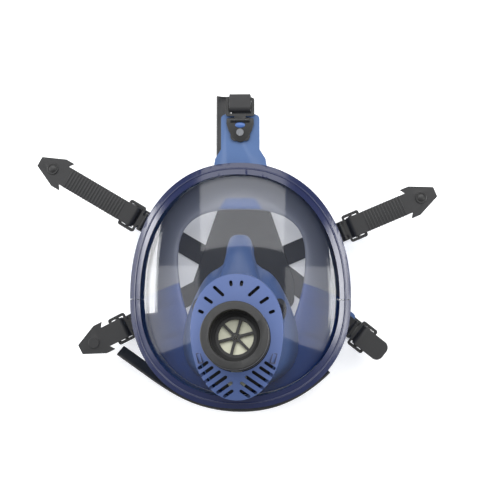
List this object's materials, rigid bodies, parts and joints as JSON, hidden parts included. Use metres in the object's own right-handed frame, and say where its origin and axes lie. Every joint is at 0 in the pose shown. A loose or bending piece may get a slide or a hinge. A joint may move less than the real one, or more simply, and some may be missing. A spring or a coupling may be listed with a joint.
{
  "type": "full-face respirator",
  "caption": "Full-face respirator mask: clear barrel visor in a clamped frame, rubber facepiece, filter connector and a buckled head harness.",
  "frame": {"origin": "on the head pad's underside, on the mask's middle plane, where the mask lies on a surface", "axes": "+Z out of the face, +Y to the top of the head, +X to the right as seen from in front of the mask"},
  "size_m": [0.3385, 0.2671, 0.1346],
  "materials": {
    "facepiece_rubber": "satin moulded rubber",
    "seal_rubber": "soft satin silicone",
    "clear_lens": "clear, glossy",
    "frame_blue": "gloss",
    "cover_blue": "matt",
    "black_plastic": "satin black",
    "gasket_rubber": "matt black",
    "ivory_rubber": "satin ivory silicone",
    "diaphragm_film": "thin film",
    "bright_steel": "plain steel",
    "strap_rubber": "satin black rubber"
  },
  "bodies": {
    "mask": {"facepiece": "facepiece_rubber", "face_seal": "seal_rubber", "visor_lens": "clear_lens", "visor_frame_upper": "frame_blue", "visor_frame_lower": "frame_blue", "frame_screws": "bright_steel", "frame_nuts": "bright_steel", "valve_housing": "black_plastic", "housing_clamp_ring": "black_plastic", "connector": "black_plastic", "thread_gasket": "gasket_rubber", "inhalation_valve_seat": "black_plastic", "speech_diaphragm": "diaphragm_film", "speech_retaining_ring": "black_plastic", "exhalation_valve_seat": "black_plastic", "inner_mask": "facepiece_rubber", "check_valve_seat_left": "black_plastic", "check_valve_seat_right": "black_plastic", "buckle_link_plates": "black_plastic", "buckle_pins": "bright_steel", "tab_rivets": "bright_steel", "head_pad": "strap_rubber", "neck_strap": "strap_rubber", "top_strap": "strap_rubber", "upper_left_strap": "strap_rubber", "upper_right_strap": "strap_rubber", "lower_left_strap": "strap_rubber", "lower_right_strap": "strap_rubber"},
    "top_buckle": {"top_buckle": "black_plastic", "top_strap_end": "strap_rubber"},
    "top_roller": {"top_roller": "black_plastic"},
    "upper_left_buckle": {"upper_left_buckle": "black_plastic", "upper_left_strap_end": "strap_rubber"},
    "upper_left_roller": {"upper_left_roller": "black_plastic"},
    "upper_right_buckle": {"upper_right_buckle": "black_plastic", "upper_right_strap_end": "strap_rubber"},
    "upper_right_roller": {"upper_right_roller": "black_plastic"},
    "lower_left_buckle": {"lower_left_buckle": "black_plastic", "lower_left_strap_end": "strap_rubber"},
    "lower_left_roller": {"lower_left_roller": "black_plastic"},
    "lower_right_buckle": {"lower_right_buckle": "black_plastic", "lower_right_strap_end": "strap_rubber"},
    "lower_right_roller": {"lower_right_roller": "black_plastic"},
    "inhalation_valve": {"inhalation_valve_disc": "ivory_rubber"},
    "exhalation_valve": {"exhalation_valve_disc": "ivory_rubber"},
    "check_valve_left": {"check_valve_disc_left": "ivory_rubber"},
    "check_valve_right": {"check_valve_disc_right": "ivory_rubber"},
    "cover": {"front_cover": "cover_blue"}
  },
  "joints": [
    {"name": "top_buckle_swing", "type": "hinge", "parent": "mask", "child": "top_buckle", "pos_m": [0, 0.137, 0.056], "axis": [1, 0, 0], "range_deg": [0, 25]},
    {"name": "top_roller_turn", "type": "hinge", "parent": "top_buckle", "child": "top_roller", "pos_m": [0, 0.1475, 0.056], "axis": [-1, 0, 0], "continuous": true},
    {"name": "upper_left_buckle_swing", "type": "hinge", "parent": "mask", "child": "upper_left_buckle", "pos_m": [-0.08396, 0.05274, 0.034], "axis": [0.5075, 0.8616, 0], "range_deg": [0, 25]},
    {"name": "upper_left_roller_turn", "type": "hinge", "parent": "upper_left_buckle", "child": "upper_left_roller", "pos_m": [-0.09301, 0.05807, 0.034], "axis": [-0.5075, -0.8616, 0], "continuous": true},
    {"name": "upper_right_buckle_swing", "type": "hinge", "parent": "mask", "child": "upper_right_buckle", "pos_m": [0.08547, 0.04501, 0.034], "axis": [0.3907, -0.9205, 0], "range_deg": [0, 25]},
    {"name": "upper_right_roller_turn", "type": "hinge", "parent": "upper_right_buckle", "child": "upper_right_roller", "pos_m": [0.09514, 0.04911, 0.034], "axis": [-0.3907, 0.9205, 0], "continuous": true},
    {"name": "lower_left_buckle_swing", "type": "hinge", "parent": "mask", "child": "lower_left_buckle", "pos_m": [-0.09247, -0.033, 0.034], "axis": [-0.454, 0.891, 0], "range_deg": [0, 25]},
    {"name": "lower_left_roller_turn", "type": "hinge", "parent": "lower_left_buckle", "child": "lower_left_roller", "pos_m": [-0.10182, -0.03777, 0.034], "axis": [0.454, -0.891, 0], "continuous": true},
    {"name": "lower_right_buckle_swing", "type": "hinge", "parent": "mask", "child": "lower_right_buckle", "pos_m": [0.09339, -0.03781, 0.034], "axis": [-0.6157, -0.788, 0], "range_deg": [0, 25]},
    {"name": "lower_right_roller_turn", "type": "hinge", "parent": "lower_right_buckle", "child": "lower_right_roller", "pos_m": [0.10167, -0.04428, 0.034], "axis": [0.6157, 0.788, 0], "continuous": true},
    {"name": "inhalation_valve_lift", "type": "slide", "parent": "mask", "child": "inhalation_valve", "axis": [0, -0.1392, -0.9903], "range_m": [0, 0.0016], "stiffness_N_per_m": 60},
    {"name": "exhalation_valve_lift", "type": "slide", "parent": "mask", "child": "exhalation_valve", "axis": [0, 0, 1], "range_m": [0, 0.0012], "stiffness_N_per_m": 60},
    {"name": "check_valve_left_lift", "type": "slide", "parent": "mask", "child": "check_valve_left", "axis": [0.8192, 0, -0.5736], "range_m": [0, 0.0012], "stiffness_N_per_m": 60},
    {"name": "check_valve_right_lift", "type": "slide", "parent": "mask", "child": "check_valve_right", "axis": [-0.8192, 0, -0.5736], "range_m": [0, 0.0012], "stiffness_N_per_m": 60},
    {"name": "front_cover_pull", "type": "slide", "parent": "mask", "child": "cover", "axis": [0, 0.1392, 0.9903], "range_m": [0, 0.03]}
  ]
}
